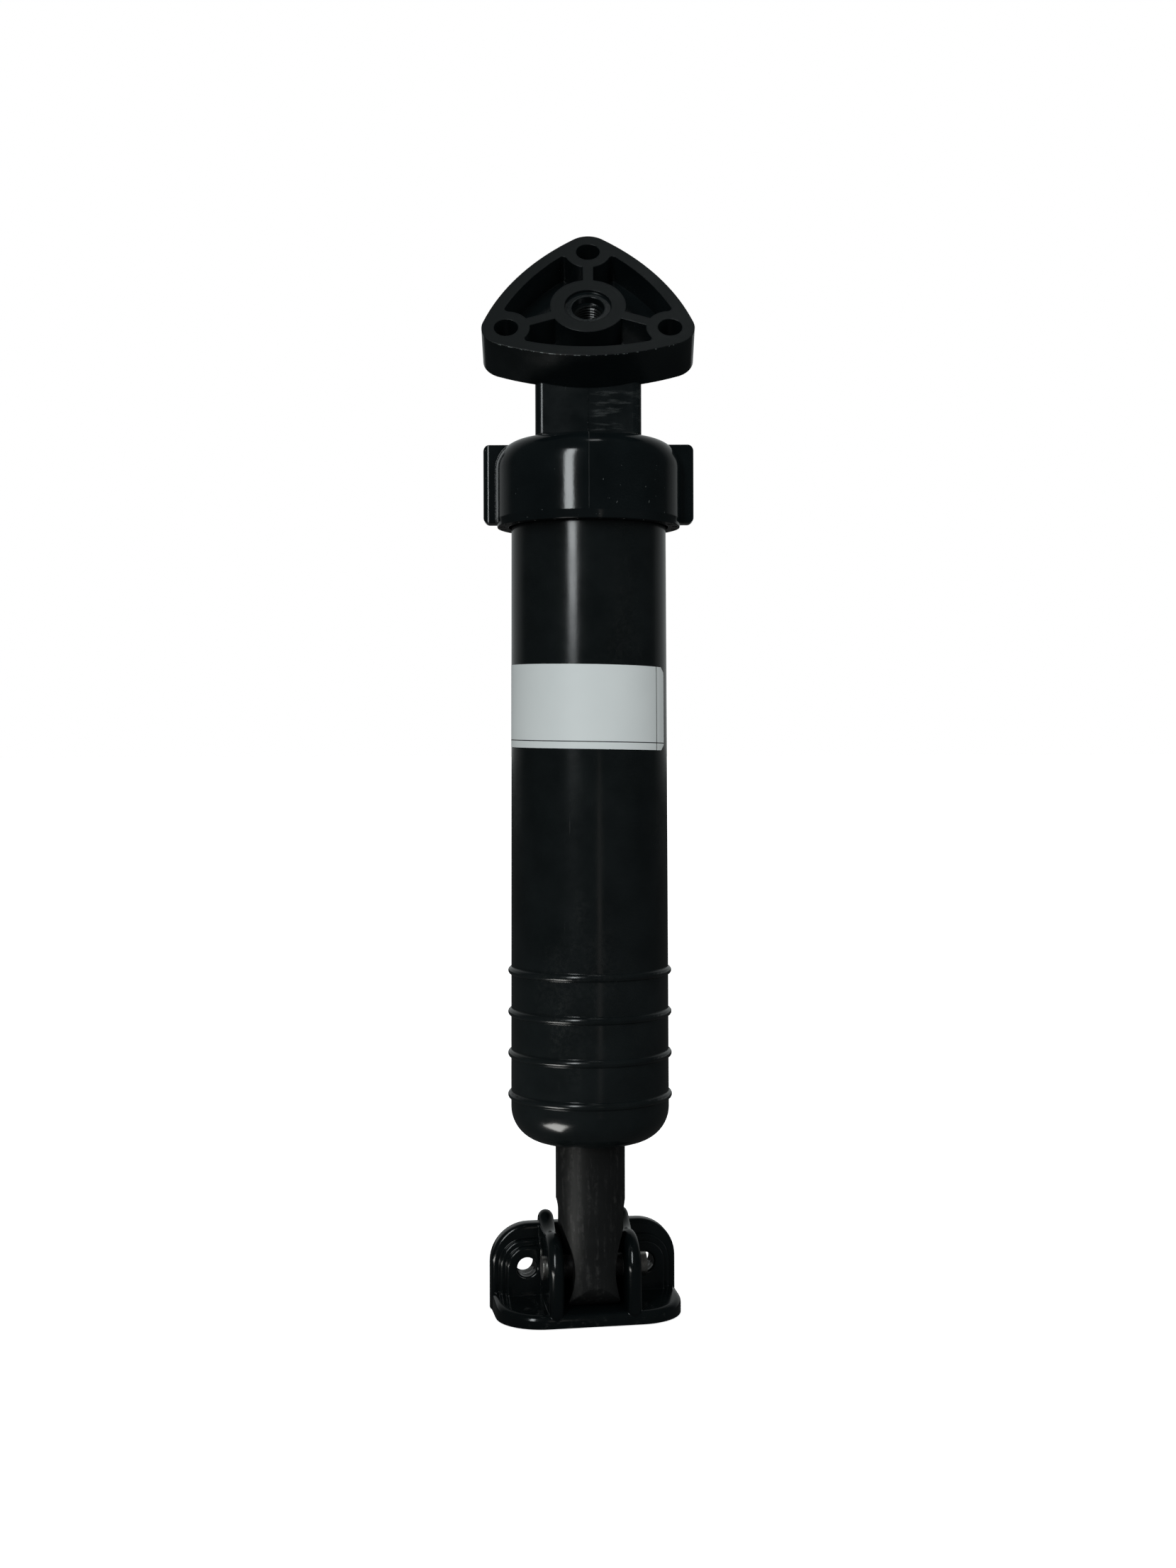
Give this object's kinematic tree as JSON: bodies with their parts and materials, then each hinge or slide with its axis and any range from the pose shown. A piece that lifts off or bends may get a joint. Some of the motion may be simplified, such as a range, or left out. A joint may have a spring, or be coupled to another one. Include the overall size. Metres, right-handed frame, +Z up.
{
  "type": "hydraulic trim tab actuator",
  "caption": "Single-acting hydraulic trim tab actuator with a tilting three-screw upper hinge, spring-returned ram and two-screw lower hinge.",
  "frame": {"origin": "on the axis of the hose port, at the outer end of its thread", "axes": "+Z up along the barrel, from the lower hinge to the upper one; +X along the upper hinge's pins; +Y away from the transom, to the actuator's back"},
  "size_m": [0.0514, 0.0454, 0.2669],
  "materials": {
    "black_moulding": "satin moulded, faint scuffs",
    "black_gloss": "glossy moulded",
    "black_barrel": "smooth satin",
    "grey_ram": "fine matte, scuffed",
    "stainless": "turned",
    "seal_rubber": "smooth",
    "piston_plastic": "machined",
    "bearing_plastic": "machined"
  },
  "bodies": {
    "upper_hinge": {"upper_hinge": "black_moulding", "upper_hinge_pins": "stainless", "hinge_pin_seals": "seal_rubber"},
    "cylinder": {"end_cap": "black_gloss", "cap_seal": "seal_rubber", "barrel": "black_barrel", "ram_bush": "bearing_plastic", "ram_wiper": "seal_rubber", "return_spring": "stainless"},
    "spring_carrier": {"spring_seat": "stainless"},
    "ram": {"ram": "grey_ram", "piston": "piston_plastic", "piston_seal": "seal_rubber", "piston_wear_ring": "bearing_plastic", "piston_washer": "stainless", "piston_nut": "stainless"},
    "lower_hinge": {"lower_hinge": "black_gloss", "lower_hinge_pin": "stainless"}
  },
  "joints": [
    {"name": "hinge_swing", "type": "hinge", "parent": "upper_hinge", "child": "cylinder", "pos_m": [0, 0.00573, -0.019], "axis": [1, 0, 0], "range_deg": [-3, 54]},
    {"name": "ram_slide", "type": "slide", "parent": "cylinder", "child": "spring_carrier", "axis": [0, 0, -1], "range_m": [0, 0.057], "stiffness_N_per_m": 1900, "springref_m": -0.03, "deforming": ["return_spring"]},
    {"name": "ram_turn", "type": "hinge", "parent": "spring_carrier", "child": "ram", "pos_m": [0, 0.00573, -0.059], "axis": [0, 0, 1], "continuous": true},
    {"name": "lower_hinge_swing", "type": "hinge", "parent": "ram", "child": "lower_hinge", "pos_m": [0, 0.00573, -0.232], "axis": [0.9848, 0.1736, 0], "range_deg": [-85, 5]}
  ]
}
